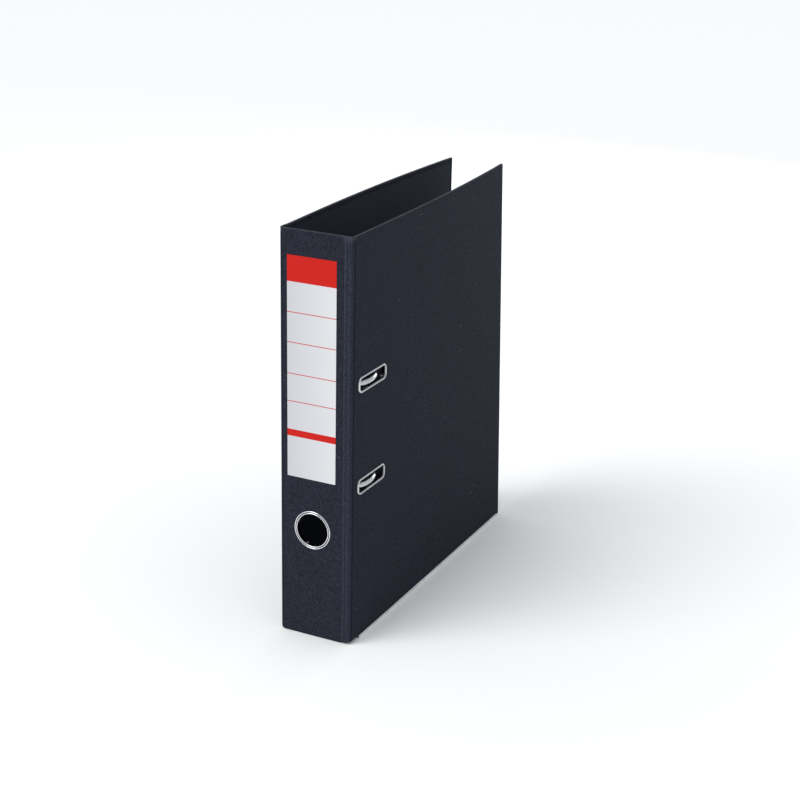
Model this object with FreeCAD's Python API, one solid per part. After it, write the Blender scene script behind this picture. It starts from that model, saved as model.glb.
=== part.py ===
import FreeCAD, Part
import math
import os

# A4 lever arch file for a 50 mm stack, closed and standing on its lower edges.
# Built in millimetres in the spine's frame: x across the spine (front cover at +x, back cover
# at -x), y from the spine's outer face towards the free edges, z up from the shelf.  At the end
# everything is moved so that the origin is the centre of the base of the whole file's box.

V = FreeCAD.Vector
UP = V(0, 0, 1)

# --- driving dimensions ------------------------------------------------------------------
HEIGHT = 318.0            # standard height of an A4 lever arch file
WIDTH = 60.8              # outer width of the spine, corner to corner
DEPTH = 284.0             # spine's outer face to the free edges
WRAP = 0.3                # embossed outer covering
BOARD = 2.0               # grey board
LINING = 0.2              # paper lining inside
TURN_IN = 4.0             # width of covering that shows round the lining
CORNER_RADIUS = 3.0       # the covering's bend at each corner of the spine
FOIL = 0.5                # covering and lining together, in the hinge gaps
FOIL_FLAT = 5.5           # straight part of each hinge gap
FOIL_CLEAR = 0.8          # the foil stops this much short of the shelf,
FOIL_RISE = 2.6           # and its lower end rises to this where it meets the cover
CORNER_TRIM = 2.0         # the covers' lower corners beside the hinges stop this much short of it
FOIL_GAP = 0.1            # between the back foil and the back cover, which leans
PAPER_HOLES = 80.0        # hole spacing of the filing standard
HOLES_HEIGHT = 166.2      # middle of the two holes above the shelf

# covers: flat as far as FLAT_END, then bowed inwards by a parabola
FLAT_END = 60.0
BOW_STRIPS = 7            # the bowed part is made of this many strips
FRONT_BOW_TOP = 9.4       # how far the front cover's free edge is bowed in at the top
FRONT_BOW_BASE = 0.3
BACK_BOW = 10.7
FRONT_LEAN = 0.34         # degrees, both turned the same way about +z
BACK_LEAN = 2.09

# finger ring and label on the spine
RING_X = -2.35
RING_Z = 88.4
RING_OPENING = 13.0
RING_OUTER = 15.3
RING_BEAD = 0.55
LABEL_BOX = (-23.6, 16.9, 129.1, 298.9)
LABEL_THICK = 0.2

# slot eyelets in the front cover
SLOT_Y = 31.2
SLOT_DROP = 0.9           # the slots lie a little lower than the arches
SLOT_LONG = 43.4
SLOT_TALL = 12.7
SLOT_CORNER = 4.6
FLANGE = 1.8
FLANGE_PROUD = 0.9
COLLAR = 0.5

# edge strips under both covers
STRIP_START = 14.0
STRIP_END = 279.0
STRIP_SHEET = 0.45
STRIP_TALL = 2.2

# lever arch mechanism: "along" is the distance from the hinge line along the back cover,
# "rise" is the height above the back cover's lining
PLATE = 1.2
PLATE_ALONG = (8.4, 46.0)
PLATE_HALF = 78.0
PLATE_CORNER = 6.0
WIRE = 2.0
SHAFT_ALONG = 10.2
SHAFT_RISE = 4.4
POST_ALONG = 36.8
POST = 2.2
POST_TOP = 52.6
TIP_GAP = 0.3
CUT_ANGLE = 25.0
RUNNING = 0.05
PIVOT_UP = 50.0           # lever pivot above the middle of the two holes
PIVOT_RISE = 6.0
PIVOT_PIN = 2.0
ROLLER_REACH = 5.6
ROLLER = 2.5
ROLLER_PIN = 1.2
SHEET = 1.2
CRANK_CLEAR = 1.0         # between the roller and the crank above it, at rest
CRANK = 1.6
LEVER_ALONG = (15.5, 28.5)
LEVER_BACK = 3.6          # how far the arm goes past its pivot
LEVER_EYE = 3.8
LEVER_REACH = 86.0
LEVER_RISE = 13.0
BAR_ALONG = (32.4, 44.0)
BAR_HALF = 56.0
BAR_RISE = (3.0, 8.0)
BAR_HOLE_FIT = 0.08
RIVET_ALONG = (17.0, 39.0)
RIVET_UP = 69.0           # above and below the middle of the two holes
RIVET_SHANK = 2.0
RIVET_BORE = 1.1
RIVET_LIP = 3.2
RIVET_HEAD = 4.2
RIVET_DOME = 1.1
STRAP_OFFSET = 14.0       # bearing straps, in from the two holes
STRAP_HALF = 4.0
EAR = 1.4                 # thickness of the two ears that hold the lever's pivot
EAR_GAP = 0.5
ARCH_POINTS = [(SHAFT_ALONG, SHAFT_RISE), (SHAFT_ALONG, 58.0), (23.0, 61.0),
               (POST_ALONG, 57.6), (POST_ALONG, POST_TOP - 6)]
ARCH_RADII = [7.0, 28.0, 5.0]

HALF = WIDTH / 2
THICK = WRAP + BOARD + LINING
HINGE_GAP = FOIL_FLAT + CORNER_RADIUS * math.pi / 2
HINGE_IN = (FOIL_FLAT + 2 * CORNER_RADIUS - HINGE_GAP) / 2
HINGE_X = HALF - HINGE_IN
HINGE_Y = HINGE_IN
SPINE_RIGHT = HALF - CORNER_RADIUS - FOIL_FLAT
SPINE_LEFT = CORNER_RADIUS - HALF
FRONT_START = CORNER_RADIUS
BACK_START = CORNER_RADIUS + FOIL_FLAT
PIVOT_Z = HOLES_HEIGHT + PIVOT_UP
HOLE_ZS = (HOLES_HEIGHT - PAPER_HOLES / 2, HOLES_HEIGHT + PAPER_HOLES / 2)
RIVETS = [(along, HOLES_HEIGHT + up) for along in RIVET_ALONG for up in (-RIVET_UP, RIVET_UP)]

nodes = {}


def box(x0, x1, y0, y1, z0, z1):
    return Part.makeBox(x1 - x0, y1 - y0, z1 - z0, V(x0, y0, z0))


def turned(shape, x, degrees):
    """Turn a shape about the vertical hinge line at x."""
    copy = shape.copy()
    copy.rotate(V(x, HINGE_Y, 0), UP, degrees)
    return copy


def joined(shapes):
    """Fuse touching shapes into one clean solid."""
    whole = shapes[0].fuse(shapes[1:])
    return whole.removeSplitter()


def rounded_box(x0, x1, y0, y1, z0, z1, radius, axis):
    """A box whose four edges along one axis are rounded."""
    block = box(x0, x1, y0, y1, z0, z1)
    edges = [e for e in block.Edges if abs(e.tangentAt(e.FirstParameter).dot(axis)) > 0.99]
    return block.makeFillet(radius, edges)


# --- covers ------------------------------------------------------------------------------
def cover_outline(side, skin, under, start, end, z, bow):
    """A cover's section at height z, between two depths below its outer face."""
    run = DEPTH - FLAT_END
    reach = end - FLAT_END
    inward = bow * (reach / run) ** 2

    def face(depth):
        x = side * (HALF - depth)
        edges = [Part.makeLine(V(x, start, z), V(x, FLAT_END, z))]
        last = edges[0].Vertexes[1].Point
        for i in range(BOW_STRIPS):
            from_flat, to_free = i / BOW_STRIPS, (i + 1) / BOW_STRIPS
            middle = V(x - side * inward * from_flat * to_free, FLAT_END + reach * (from_flat + to_free) / 2, z)
            far = V(x - side * inward * to_free ** 2, FLAT_END + reach * to_free, z)
            strip = Part.BezierCurve()
            strip.setPoles([last, middle, far])
            edges.append(strip.toShape())
            last = far
        return edges, V(x, start, z), last

    outside, near0, far0 = face(skin)
    inside, near1, far1 = face(under)
    ends = [Part.makeLine(far0, far1), Part.makeLine(near1, near0)]
    return Part.Wire(Part.__sortEdges__(outside + inside + ends))


def bow_at(side, z):
    if side < 0:
        return BACK_BOW
    return FRONT_BOW_BASE + (FRONT_BOW_TOP - FRONT_BOW_BASE) * z / HEIGHT


def cover_slab(side, skin, under, start, end, z0, z1):
    low = cover_outline(side, skin, under, start, end, z0, bow_at(side, z0))
    high = cover_outline(side, skin, under, start, end, z1, bow_at(side, z1))
    return Part.makeLoft([low, high], True, True)


def trimmed_corner(margin):
    """What is cut off a cover's lower corner between the hinge and the edge strip."""
    return box(-HALF - 1, HALF + 1, 0, STRIP_START + margin, 0, CORNER_TRIM + margin)


def cover_layers(side, start):
    """The board, the covering folded round it, and the lining between the folds."""
    lift = STRIP_SHEET
    board = cover_slab(side, WRAP, WRAP + BOARD, start, DEPTH - WRAP, lift + WRAP, HEIGHT - WRAP)
    board = board.cut(trimmed_corner(WRAP))
    lining = cover_slab(side, WRAP + BOARD, THICK, start, DEPTH - TURN_IN,
                        lift + TURN_IN, HEIGHT - TURN_IN)
    wrap = cover_slab(side, 0, THICK, start, DEPTH, lift, HEIGHT)
    wrap = wrap.cut([board, lining, trimmed_corner(0)])
    return board, wrap, lining


def edge_strip(side):
    """Steel channel pressed over a cover's lower edge."""
    outer = cover_slab(side, -STRIP_SHEET, THICK + STRIP_SHEET, STRIP_START, STRIP_END, 0, STRIP_TALL)
    inner = cover_slab(side, 0, THICK, 0, DEPTH, STRIP_SHEET, HEIGHT)
    return outer.cut(inner)


def slot_block(long, tall, corner, x0, x1, z):
    return rounded_box(x0, x1, SLOT_Y - long / 2, SLOT_Y + long / 2, z - tall / 2, z + tall / 2,
                       corner, V(1, 0, 0))


def slot_collar(x0, x1, z, grow=0.0):
    long = SLOT_LONG - 2 * FLANGE + 2 * grow
    tall = SLOT_TALL - 2 * FLANGE + 2 * grow
    return slot_block(long, tall, SLOT_CORNER - FLANGE + grow, x0, x1, z)


def slot_eyelet(z):
    """A domed flange, a collar through the cover and a clinched lip behind it."""
    face = HALF
    back = HALF - THICK
    flange = slot_block(SLOT_LONG, SLOT_TALL, SLOT_CORNER, face, face + FLANGE_PROUD, z)
    rim = [e for e in flange.Edges if min(v.X for v in e.Vertexes) > face + FLANGE_PROUD - 0.01]
    flange = flange.makeFillet(FLANGE_PROUD * 0.7, rim)
    collar = slot_collar(back - COLLAR, face, z, COLLAR)
    lip = slot_block(SLOT_LONG - FLANGE, SLOT_TALL - FLANGE, SLOT_CORNER - 1, back - COLLAR, back, z)
    return joined([flange, collar, lip]).cut(slot_collar(back - 2, face + 2, z))


def front_cover():
    board, wrap, lining = cover_layers(1, FRONT_START)
    low, high = [z - SLOT_DROP for z in HOLE_ZS]
    cutters = [slot_collar(HALF - 2 * THICK, HALF + THICK, z, COLLAR) for z in (low, high)]
    parts = {
        "front_board": board.cut(cutters),
        "front_wrap": wrap.cut(cutters),
        "front_lining": lining.cut(cutters),
        "lower_slot_eyelet": slot_eyelet(low),
        "upper_slot_eyelet": slot_eyelet(high),
        "front_edge_strip": edge_strip(1),
    }
    for name, shape in parts.items():
        nodes[name] = turned(shape, HINGE_X, FRONT_LEAN)


# --- spine -------------------------------------------------------------------------------
def spine_panel():
    left, right = SPINE_LEFT, SPINE_RIGHT
    hole = Part.makeCylinder(RING_OPENING + COLLAR, 4 * THICK, V(RING_X, -THICK, RING_Z), V(0, 1, 0))
    board = box(left, right, WRAP, WRAP + BOARD, WRAP, HEIGHT - WRAP)
    lining = box(left, right, WRAP + BOARD, THICK, TURN_IN, HEIGHT - TURN_IN)
    wrap = box(left, right, 0, THICK, 0, HEIGHT).cut([board, lining])
    nodes["spine_board"] = board.cut(hole)
    nodes["spine_wrap"] = wrap.cut(hole)
    nodes["spine_lining"] = lining.cut(hole)
    x0, x1, z0, z1 = LABEL_BOX
    nodes["spine_label"] = box(x0, x1, -LABEL_THICK, 0, z0, z1)


def ring_solid(inner, outer, y0, y1):
    tube = Part.makeCylinder(outer, y1 - y0, V(RING_X, y0, RING_Z), V(0, 1, 0))
    return tube.cut(Part.makeCylinder(inner, y1 - y0 + 2, V(RING_X, y0 - 1, RING_Z), V(0, 1, 0)))


def finger_ring():
    """A flange with a bead on each rim, and a collar that goes through the spine."""
    at = V(RING_X, 0, RING_Z)
    inner_bead = Part.makeTorus(RING_OPENING + RING_BEAD, RING_BEAD, at, V(0, 1, 0))
    outer_bead = Part.makeTorus(RING_OUTER - RING_BEAD, RING_BEAD, at, V(0, 1, 0))
    web = ring_solid(RING_OPENING + RING_BEAD, RING_OUTER - RING_BEAD, -0.4, 0)
    outside = ring_solid(RING_OPENING - 1, RING_OUTER + 1, -2, 0)
    flange = web.fuse([inner_bead, outer_bead]).common(outside)
    collar = ring_solid(RING_OPENING, RING_OPENING + COLLAR, -0.1, THICK + 2 * COLLAR)
    nodes["finger_ring"] = joined([flange, collar])
    washer = ring_solid(RING_OPENING + COLLAR, RING_OUTER + 0.4, THICK, THICK + COLLAR)
    nodes["finger_ring_washer"] = washer.makeFillet(0.2, [washer.Edges[0]])


def foil_trim(side, start):
    """What is cut off a foil's lower end, which rises from the spine towards the cover."""
    middle = start + 0.6 * (HALF - start)
    outline = [(start, -1), (start, FOIL_CLEAR), (middle, FOIL_CLEAR + 0.36 * (FOIL_RISE - FOIL_CLEAR)),
               (HALF, FOIL_RISE), (HALF + 1, FOIL_RISE), (HALF + 1, -1), (start, -1)]
    face = Part.Face(Part.makePolygon([V(side * x, -1, z) for x, z in outline]))
    return face.extrude(V(0, BACK_START + 2, 0))


def foil(arc_x, flat, arc_start):
    """Bent covering in a hinge gap: a straight part along one board and a quarter bend."""
    at = V(arc_x, CORNER_RADIUS, FOIL_CLEAR)
    tall = HEIGHT - FOIL_CLEAR
    bend = Part.makeCylinder(CORNER_RADIUS, tall, at, UP, 90)
    bend = bend.cut(Part.makeCylinder(CORNER_RADIUS - FOIL, tall, at, UP))
    bend.rotate(at, UP, arc_start)
    return joined([flat, bend])


def hinge_foils():
    front_arc = HALF - CORNER_RADIUS
    flat = box(SPINE_RIGHT, front_arc, 0, FOIL, FOIL_CLEAR, HEIGHT)
    nodes["front_hinge_foil"] = foil(front_arc, flat, -90).cut(foil_trim(1, SPINE_RIGHT + 1.5))
    flat = box(-HALF, FOIL - HALF, CORNER_RADIUS, BACK_START - FOIL_GAP, FOIL_CLEAR, HEIGHT)
    nodes["back_hinge_foil"] = foil(SPINE_LEFT, flat, 180).cut(foil_trim(-1, -SPINE_LEFT))


# --- lever arch mechanism, riveted inside the back cover ---------------------------------
def plate_x(rise):
    return THICK - HALF + rise


def plate_y(along):
    return HINGE_Y + along


def block(along, rise, z0, z1):
    return box(plate_x(rise[0]), plate_x(rise[1]), plate_y(along[0]), plate_y(along[1]), z0, z1)


def at(along, rise, z):
    return V(plate_x(rise), plate_y(along), z)


def pin(radius, along0, along1, rise, z):
    """A round bar along y."""
    return Part.makeCylinder(radius, along1 - along0, at(along0, rise, z), V(0, 1, 0))


def stud(radius, along, rise0, rise1, z):
    """A round bar square to the back cover."""
    return Part.makeCylinder(radius, rise1 - rise0, at(along, rise0, z), V(1, 0, 0))


def wire_path(points, radii, z):
    """Straight runs joined by tangent arcs, in a plane square to the shaft."""
    corners = [at(a, r, z) for a, r in points]
    edges = []
    last = corners[0]
    for before, corner, after, radius in zip(corners, corners[1:], corners[2:], radii):
        back = (before - corner).normalize()
        ahead = (after - corner).normalize()
        half = back.getAngle(ahead) / 2
        length = radius / math.tan(half)
        middle = (back + ahead).normalize()
        centre = corner + middle * (radius / math.sin(half))
        first = corner + back * length
        second = corner + ahead * length
        edges.append(Part.makeLine(last, first))
        edges.append(Part.Arc(first, centre - middle * radius, second).toShape())
        last = second
    edges.append(Part.makeLine(last, corners[-1]))
    return Part.Wire(edges)


def cut_above(gap, keep_above):
    """A half space whose slanted face is the joint between an arch's tip and its post."""
    size = 40.0
    rise = (0, size) if keep_above else (-size, 0)
    half = block((-size, size), rise, -size, size)
    half.translate(V(HALF - THICK, -HINGE_Y, 0))
    half.rotate(V(0, 0, 0), UP, CUT_ANGLE)
    half.translate(at(POST_ALONG, POST_TOP + gap, HOLES_HEIGHT))
    return half


def arch_wire():
    """Both arches, their shaft and the crank that the lever lifts: one steel wire."""
    low, high = HOLE_ZS
    shaft = Part.makeCylinder(WIRE, PIVOT_Z - 2 - low, at(SHAFT_ALONG, SHAFT_RISE, low), UP)
    pieces = [shaft, Part.makeSphere(WIRE, at(SHAFT_ALONG, SHAFT_RISE, low))]
    joint = cut_above(TIP_GAP, True)
    for z in HOLE_ZS:
        path = wire_path(ARCH_POINTS, ARCH_RADII, z)
        ring = Part.Wire(Part.makeCircle(WIRE, at(SHAFT_ALONG, SHAFT_RISE, z), V(1, 0, 0)))
        arch = path.makePipeShell([ring], True, False)
        tip_zone = block((POST_ALONG - 4, POST_ALONG + 4), (30, POST_TOP + 4), z - 4, z + 4)
        tip_cut = joint.copy()
        tip_cut.translate(V(0, 0, z - HOLES_HEIGHT))
        pieces.append(arch.cut(tip_zone.cut(tip_cut)))
    z0, z1 = PIVOT_Z - ROLLER_REACH - 3, PIVOT_Z - 2.8
    top = PIVOT_RISE + ROLLER + CRANK_CLEAR
    section = [(SHAFT_ALONG - 0.6, 3.6), (SHAFT_ALONG + 2.4, 3.6), (SHAFT_ALONG + 5.6, top),
               (21.5, top), (21.5, top + CRANK), (SHAFT_ALONG + 4.6, top + CRANK),
               (SHAFT_ALONG + 1.2, 5.4), (SHAFT_ALONG - 0.6, 5.4)]
    ring = Part.makePolygon([at(a, r, z0) for a, r in section + section[:1]])
    pieces.append(Part.Face(ring).extrude(V(0, 0, z1 - z0)))
    return joined(pieces)


def posts():
    joint = cut_above(0, False)
    for name, z in zip(("lower_post", "upper_post"), HOLE_ZS):
        rod = stud(POST, POST_ALONG, -THICK - 0.8, POST_TOP + 3, z)
        foot = stud(POST + 1.4, POST_ALONG, PLATE, PLATE + 0.9, z)
        head = stud(POST + 1.6, POST_ALONG, -THICK - 0.8, -THICK, z)
        cut = joint.copy()
        cut.translate(V(0, 0, z - HOLES_HEIGHT))
        keep = block((POST_ALONG - 5, POST_ALONG + 5), (-10, POST_TOP - 5), z - 5, z + 5).fuse(cut)
        nodes[name] = joined([rod, foot, head]).common(keep)


def base_plate():
    low, high = HOLES_HEIGHT - PLATE_HALF, HOLES_HEIGHT + PLATE_HALF
    plate = rounded_box(plate_x(0), plate_x(PLATE), plate_y(PLATE_ALONG[0]), plate_y(PLATE_ALONG[1]),
                        low, high, PLATE_CORNER, V(1, 0, 0))
    ears = []
    for start in (LEVER_ALONG[0] - EAR_GAP - EAR, LEVER_ALONG[1] + EAR_GAP):
        along = (start, start + EAR)
        ear = block(along, (0, PIVOT_RISE), PIVOT_Z - 2.8, PIVOT_Z + 4.6)
        tip = pin(3.7, along[0], along[1], PIVOT_RISE, PIVOT_Z + 0.9)
        ears.append(ear.fuse(tip.common(block(along, (0, 12), PIVOT_Z - 2.8, PIVOT_Z + 6))))
    solid = joined([plate] + ears)
    holes = [pin(PIVOT_PIN, 0, 60, PIVOT_RISE, PIVOT_Z)]
    holes += [stud(RIVET_SHANK, a, -5, 5, z) for a, z in RIVETS]
    holes += [stud(POST, POST_ALONG, -5, 5, z) for z in HOLE_ZS]
    return solid.cut(holes)


def rivets():
    """Four tubular rivets: a domed head outside the cover, a rolled lip on the plate."""
    solids = []
    for along, z in RIVETS:
        shank = stud(RIVET_SHANK, along, -THICK, PLATE, z)
        lip = stud(RIVET_LIP, along, PLATE, PLATE + 0.8, z)
        head = stud(RIVET_HEAD, along, -THICK - RIVET_DOME, -THICK, z)
        outer_rim = [e for e in head.Edges if max(v.X for v in e.Vertexes) < plate_x(-THICK - 1)]
        head = head.makeFillet(0.8, outer_rim)
        solids.append(joined([shank, lip, head]).cut(stud(RIVET_BORE, along, -1, PLATE + 2, z)))
    return Part.makeCompound(solids)


def bearing_strap(z):
    """An omega strap that holds the shaft on the base plate."""
    hump = rounded_box(plate_x(-2), plate_x(SHAFT_RISE + WIRE + 1.4), plate_y(SHAFT_ALONG - 3.4),
                       plate_y(SHAFT_ALONG + 3.4), z - STRAP_HALF, z + STRAP_HALF, 2.6, UP)
    hump = hump.common(block((0, 30), (PLATE, 12), z - STRAP_HALF, z + STRAP_HALF))
    tab = block((SHAFT_ALONG + 2, SHAFT_ALONG + 10), (PLATE, PLATE + 1.0), z - STRAP_HALF, z + STRAP_HALF)
    screw = stud(2.1, SHAFT_ALONG + 7, PLATE + 0.9, PLATE + 1.8, z)
    bore = Part.makeCylinder(WIRE + RUNNING, 20, at(SHAFT_ALONG, SHAFT_RISE, z - 10), UP)
    return joined([hump, tab, screw]).cut(bore)


def arch_spring():
    """A leaf spring on the base plate that presses the crank down."""
    low = PIVOT_Z - 46
    top = PIVOT_RISE + ROLLER + CRANK_CLEAR + CRANK + 0.1
    points = [(PLATE, low), (PLATE, low + 12), (top, PIVOT_Z - 12), (top, PIVOT_Z - 4),
              (top + 0.5, PIVOT_Z - 4), (top + 0.5, PIVOT_Z - 12.2), (PLATE + 0.5, low + 11.8),
              (PLATE + 0.5, low)]
    ring = Part.makePolygon([at(17.5, r, z) for r, z in points + points[:1]])
    return Part.Face(ring).extrude(V(0, 4.0, 0))


def lever():
    """Pressed steel arm with two cheeks at its pivot, an over-moulded grip and a roller."""
    near, far = LEVER_ALONG
    top = LEVER_RISE + SHEET
    end = PIVOT_Z - LEVER_REACH
    arm = rounded_box(plate_x(LEVER_RISE), plate_x(top), plate_y(near), plate_y(far), end,
                      PIVOT_Z + LEVER_BACK, 4.0, V(1, 0, 0))
    square = block((near, far), (LEVER_RISE, top), PIVOT_Z - 12, PIVOT_Z + LEVER_BACK)
    cheeks = [block((far - SHEET, far), (PIVOT_RISE - 3, top - 0.3), PIVOT_Z - 9, PIVOT_Z)]
    for start in (near, far - SHEET):
        along = (start, start + SHEET)
        cheeks.append(block(along, (PIVOT_RISE, top - 0.3), PIVOT_Z - 2, PIVOT_Z + LEVER_BACK))
        cheeks.append(pin(LEVER_EYE, along[0], along[1], PIVOT_RISE, PIVOT_Z))
    rib = rounded_box(plate_x(top - 0.1), plate_x(top + 1.0), plate_y(near + 4.2), plate_y(far - 4.2),
                      end + 26, PIVOT_Z - 6, 2.0, V(1, 0, 0))
    holes = [pin(PIVOT_PIN + RUNNING, 0, 60, PIVOT_RISE, PIVOT_Z),
             pin(ROLLER_PIN, 0, 60, PIVOT_RISE, PIVOT_Z - ROLLER_REACH)]
    nodes["lever_arm"] = joined([arm, square, rib] + cheeks).cut(holes)
    grip = rounded_box(plate_x(LEVER_RISE - 2.2), plate_x(top + 2.4), plate_y(near - 1.0),
                       plate_y(far + 1.0), end - 1.5, end + 24, 5.0, V(1, 0, 0))
    grip = grip.makeFillet(1.2, [e for e in grip.Edges
                                 if abs(e.BoundBox.XLength) < 0.01])
    nodes["lever_grip"] = grip.cut(nodes["lever_arm"])
    nodes["roller_pin"] = pin(ROLLER_PIN, near + 0.6, far + 0.4, PIVOT_RISE, PIVOT_Z - ROLLER_REACH)
    roller = pin(ROLLER, near + 1.2, far - SHEET - 0.6, PIVOT_RISE, PIVOT_Z - ROLLER_REACH)
    bore = pin(ROLLER_PIN + RUNNING, 0, 60, PIVOT_RISE, PIVOT_Z - ROLLER_REACH)
    nodes["lever_roller"] = roller.cut(bore)
    pivot = pin(PIVOT_PIN, near - 1.9, far + 1.9, PIVOT_RISE, PIVOT_Z)
    head = pin(PIVOT_PIN + 1.0, far + 1.9, far + 2.6, PIVOT_RISE, PIVOT_Z)
    nodes["lever_pivot_pin"] = joined([pivot, head])


def compressor():
    """The bar that holds the papers down slides on both posts; its clip grips the lower one."""
    bar = rounded_box(plate_x(BAR_RISE[0]), plate_x(BAR_RISE[1]), plate_y(BAR_ALONG[0]),
                      plate_y(BAR_ALONG[1]), HOLES_HEIGHT - BAR_HALF, HOLES_HEIGHT + BAR_HALF,
                      5.0, V(1, 0, 0))
    channel = rounded_box(plate_x(BAR_RISE[0] + 1.4), plate_x(BAR_RISE[1] + 2), plate_y(BAR_ALONG[0] + 1.3),
                          plate_y(BAR_ALONG[1] - 1.3), HOLES_HEIGHT - BAR_HALF + 27,
                          HOLES_HEIGHT + BAR_HALF - 27, 3.5, V(1, 0, 0))
    holes = [stud(POST + BAR_HOLE_FIT, POST_ALONG, 0, 20, z) for z in HOLE_ZS]
    nodes["compressor_bar"] = bar.cut([channel] + holes)
    z = HOLE_ZS[0]
    clip = rounded_box(plate_x(BAR_RISE[1]), plate_x(BAR_RISE[1] + 0.8), plate_y(BAR_ALONG[0] + 1),
                       plate_y(BAR_ALONG[1] + 5), z - 5, z + 5, 2.0, V(1, 0, 0))
    tab = block((BAR_ALONG[1] + 4.2, BAR_ALONG[1] + 5), (BAR_RISE[1] - 4, BAR_RISE[1] + 0.4), z - 3, z + 3)
    nodes["compressor_clip"] = joined([clip, tab]).cut(holes[0])


def back_cover():
    others = set(nodes)
    board, wrap, lining = cover_layers(-1, BACK_START)
    holes = [stud(RIVET_SHANK, a, -9, 9, z) for a, z in RIVETS]
    holes += [stud(POST, POST_ALONG, -9, 9, z) for z in HOLE_ZS]
    nodes["back_board"] = board.cut(holes)
    nodes["back_wrap"] = wrap.cut(holes)
    nodes["back_lining"] = lining.cut(holes)
    nodes["back_edge_strip"] = edge_strip(-1)
    nodes["base_plate"] = base_plate()
    nodes["mechanism_rivets"] = rivets()
    nodes["lower_bearing_strap"] = bearing_strap(HOLE_ZS[0] + STRAP_OFFSET)
    nodes["upper_bearing_strap"] = bearing_strap(HOLE_ZS[1] - STRAP_OFFSET)
    nodes["arch_spring"] = arch_spring()
    nodes["arch_wire"] = arch_wire()
    posts()
    lever()
    compressor()
    for name in nodes:
        if name not in others:
            nodes[name] = turned(nodes[name], -HINGE_X, BACK_LEAN)


def hand_over():
    """Move the origin to the centre of the base, and write one file for each piece."""
    os.makedirs("parts", exist_ok=True)
    whole = Part.makeCompound(list(nodes.values())).optimalBoundingBox(False)
    shift = V(-whole.Center.x, -whole.Center.y, 0)
    print("moved by", shift, "and the size is", whole.XLength, whole.YLength, whole.ZLength)
    for name, shape in nodes.items():
        shape.translate(shift)
        if len(shape.Solids) == 1:
            shape = shape.Solids[0]
        state = "valid" if shape.isValid() else "INVALID"
        print(name, len(shape.Solids), "solid(s)", round(shape.Volume, 1), "mm3", state)
        shape.exportStep("parts/" + name + ".step")
    turn = FreeCAD.Rotation(UP, BACK_LEAN)
    hinge = V(-HINGE_X, HINGE_Y, 0)
    print("front hinge", V(HINGE_X, HINGE_Y, 0) + shift)
    print("back hinge", hinge + shift)
    print("shaft", turn.multVec(at(SHAFT_ALONG, SHAFT_RISE, 0) - hinge) + hinge + shift)
    print("lever pivot", turn.multVec(at(0, PIVOT_RISE, PIVOT_Z) - hinge) + hinge + shift)


spine_panel()
finger_ring()
hinge_foils()
front_cover()
back_cover()
hand_over()
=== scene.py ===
import bpy
import bmesh
import math
from mathutils import Matrix, Vector


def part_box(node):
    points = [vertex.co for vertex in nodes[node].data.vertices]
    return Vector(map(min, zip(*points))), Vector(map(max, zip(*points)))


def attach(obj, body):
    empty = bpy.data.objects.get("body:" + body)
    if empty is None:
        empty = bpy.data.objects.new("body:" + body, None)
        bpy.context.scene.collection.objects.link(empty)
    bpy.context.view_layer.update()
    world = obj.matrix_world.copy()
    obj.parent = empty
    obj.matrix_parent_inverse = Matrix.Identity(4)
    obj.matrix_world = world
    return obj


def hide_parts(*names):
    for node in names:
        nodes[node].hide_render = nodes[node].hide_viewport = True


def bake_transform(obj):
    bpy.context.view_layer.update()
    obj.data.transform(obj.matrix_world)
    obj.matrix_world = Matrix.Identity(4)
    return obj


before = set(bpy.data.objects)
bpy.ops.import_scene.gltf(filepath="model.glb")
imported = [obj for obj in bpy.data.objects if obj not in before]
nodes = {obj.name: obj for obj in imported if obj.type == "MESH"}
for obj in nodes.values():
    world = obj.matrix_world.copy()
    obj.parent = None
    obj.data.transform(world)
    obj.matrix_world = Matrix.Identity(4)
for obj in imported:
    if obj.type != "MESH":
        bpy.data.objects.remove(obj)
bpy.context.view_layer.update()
mm = 0.001

# the file's own frame: x across the spine, y from its outer face to the free edges, z up
fileSizes = {
    "half": 30.4,           # half the spine's outer width
    "thick": 2.5,           # covering, board and lining together
    "depth": 284.0,
    "height": 318.0,
    "cornerRadius": 3.0,
    "foilFlat": 5.5,
    "foilClear": 0.8,
    "foilRise": 2.6,
    "hingeX": 29.756,
    "hingeY": 0.644,
    "flatEnd": 60.0,        # the covers bow inwards beyond this
    "frontBowTop": 9.4,
    "frontBowBase": 0.3,
    "backBow": 10.7,
    "frontLean": 0.34,
    "backLean": 2.09,
}
half = fileSizes["half"]
thick = fileSizes["thick"]
spineLeft = fileSizes["cornerRadius"] - half
spineRight = half - fileSizes["cornerRadius"] - fileSizes["foilFlat"]
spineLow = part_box("spine_wrap")[0]
originX = spineLow.x - spineLeft * mm
originY = spineLow.y
print("frame loaded, the file's own origin is at", round(originX, 5), round(originY, 5))


def place(x, y, z):  # the file's own millimetres to the scene's metres
    return Vector((originX + x * mm, originY + y * mm, z * mm))


def leaned(side, x, y, share=1.0):  # a point turned with its cover about the hinge line
    degrees = fileSizes["frontLean"] if side > 0 else fileSizes["backLean"]
    angle = math.radians(degrees) * share
    hingeX = side * fileSizes["hingeX"]
    hingeY = fileSizes["hingeY"]
    dx, dy = x - hingeX, y - hingeY
    return (hingeX + dx * math.cos(angle) - dy * math.sin(angle),
            hingeY + dx * math.sin(angle) + dy * math.cos(angle))


def coverPlace(side, depth, y, z):  # a point of a cover, so deep below its outer face
    run = fileSizes["depth"] - fileSizes["flatEnd"]
    if side > 0:
        share = z / fileSizes["height"]
        bow = fileSizes["frontBowBase"] * (1 - share) + fileSizes["frontBowTop"] * share
    else:
        bow = fileSizes["backBow"]
    inward = bow * (max(0.0, y - fileSizes["flatEnd"]) / run) ** 2
    x = side * (half - depth - inward)
    x, y = leaned(side, x, y)
    return place(x, y, z)


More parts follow.
